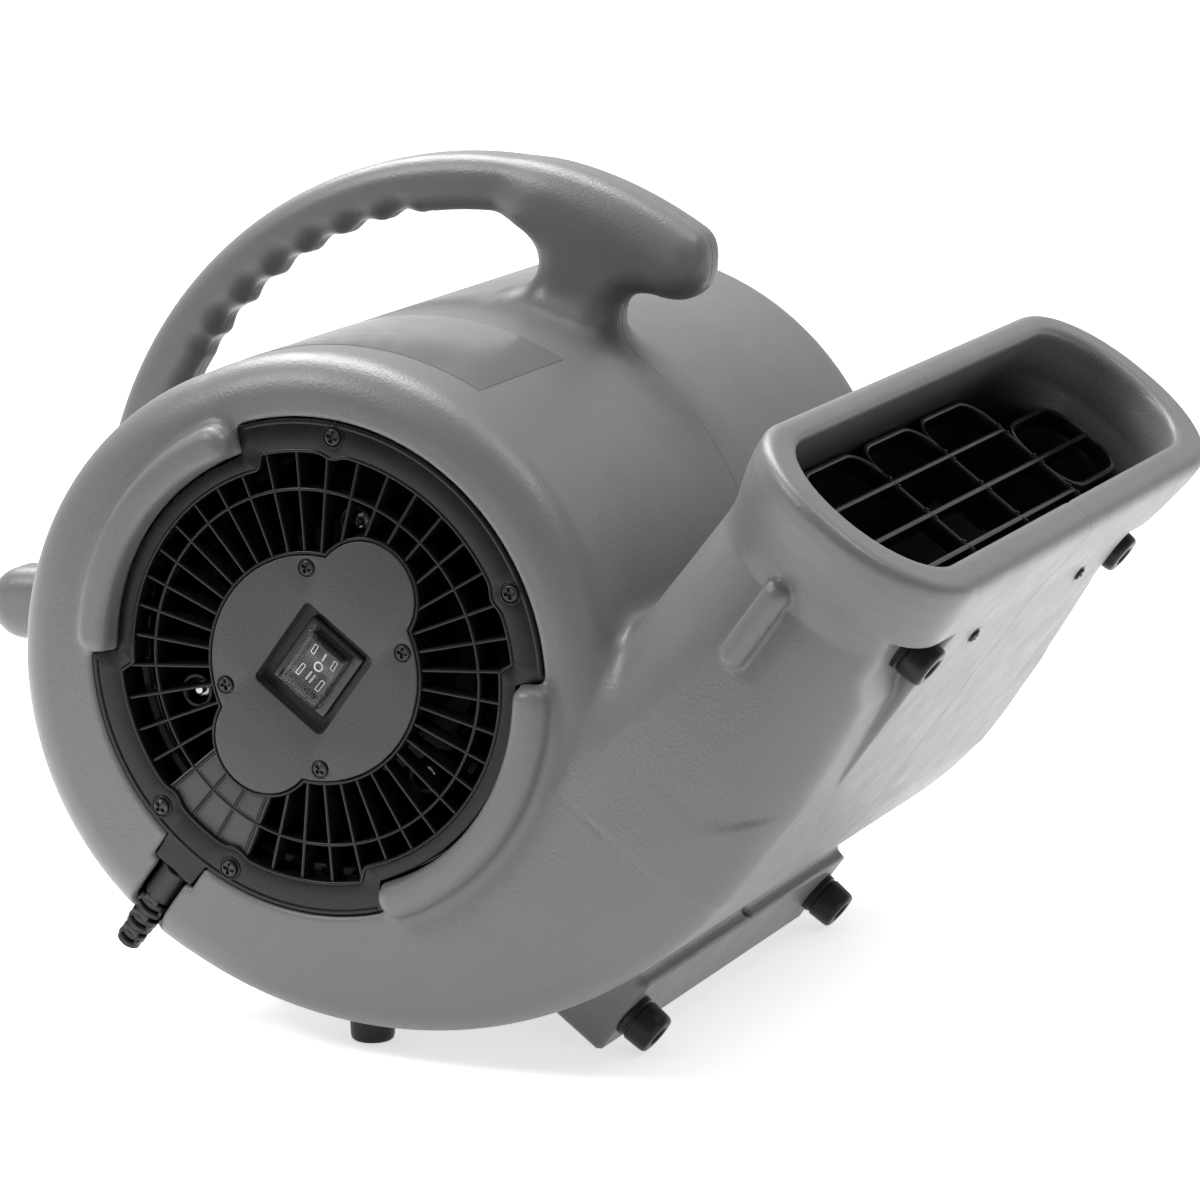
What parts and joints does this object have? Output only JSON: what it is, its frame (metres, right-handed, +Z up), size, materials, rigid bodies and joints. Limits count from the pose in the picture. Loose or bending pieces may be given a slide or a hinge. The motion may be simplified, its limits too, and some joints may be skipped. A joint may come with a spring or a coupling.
{
  "type": "air mover",
  "caption": "Snail-shaped two-inlet air mover with a moulded carry handle, standing on its rear feet with the outlet duct raised.",
  "frame": {"origin": "middle of the floor area the machine covers, at floor level, in the duct-raised stance", "axes": "+X towards the side the outlet points to, +Z up, the fan axis along Y with the switch side at -Y"},
  "size_m": [0.643, 0.472, 0.4391],
  "materials": {
    "grey_moulding": "mid grey rotomoulded polyethylene with a fine orange-peel surface",
    "black_moulding": "black injection-moulded plastic, satin",
    "plate_moulding": "black plastic with a fine spark-eroded grain",
    "switch_plastic": "glossy black plastic",
    "clear_cover": "clear flexible splash cover, glossy",
    "foot_rubber": "black rubber",
    "cord_rubber": "black rubber, ribbed where it bends",
    "zinc_steel": "bright zinc-plated steel",
    "dark_steel": "black-finished steel screws",
    "motor_paint": "black enamel on pressed steel",
    "lamination_steel": "stacked steel laminations",
    "winding_copper": "varnished copper wire",
    "terminal_brass": "bright brass blades",
    "bearing_steel": "ground steel",
    "hub_aluminium": "turned aluminium",
    "wheel_steel": "black-painted sheet steel",
    "capacitor_can": "drawn aluminium can",
    "mark_print": "pale pad-printed switch marks"
  },
  "bodies": {
    "housing": {"housing": "grey_moulding", "base_feet": "foot_rubber", "outlet_feet": "foot_rubber", "stand_feet": "foot_rubber", "foot_screws": "zinc_steel", "outlet_grille": "black_moulding", "outlet_grille_screws": "dark_steel", "switch_side_grille": "black_moulding", "plain_side_grille": "black_moulding", "switch_side_grille_screws": "dark_steel", "plain_side_grille_screws": "dark_steel", "control_plate": "plate_moulding", "control_plate_screws": "dark_steel", "switch_frame": "switch_plastic", "switch_body": "switch_plastic", "switch_terminals": "terminal_brass", "switch_cover": "clear_cover", "strain_relief": "cord_rubber", "supply_lead": "cord_rubber", "wiring_box": "black_moulding", "wiring_box_screws": "zinc_steel", "capacitor": "capacitor_can", "capacitor_strap": "zinc_steel", "mount_bolts": "zinc_steel", "mount_spacers": "motor_paint", "motor_bracket": "motor_paint", "motor_front_bell": "motor_paint", "motor_rear_bell": "motor_paint", "stator_core": "lamination_steel", "stator_windings": "winding_copper", "motor_lead": "cord_rubber", "front_bearing": "bearing_steel", "rear_bearing": "bearing_steel", "switch_side_inlet_ring": "black_moulding", "plain_side_inlet_ring": "black_moulding"},
    "fan": {"motor_shaft": "bearing_steel", "rotor_core": "lamination_steel", "wheel_hub": "hub_aluminium", "hub_set_screw": "dark_steel", "wheel_centre_disc": "wheel_steel", "switch_side_blades": "wheel_steel", "plain_side_blades": "wheel_steel", "wheel_end_rings": "wheel_steel"},
    "rocker": {"switch_rocker": "switch_plastic"}
  },
  "joints": [
    {"name": "fan_spin", "type": "hinge", "parent": "housing", "child": "fan", "pos_m": [-0.018, 0, 0.2041], "axis": [0, 1, 0], "continuous": true},
    {"name": "rocker_tilt", "type": "hinge", "parent": "housing", "child": "rocker", "pos_m": [-0.018, -0.1967, 0.2041], "axis": [-0.809, 0, 0.5878], "range_deg": [-12, 12]}
  ]
}
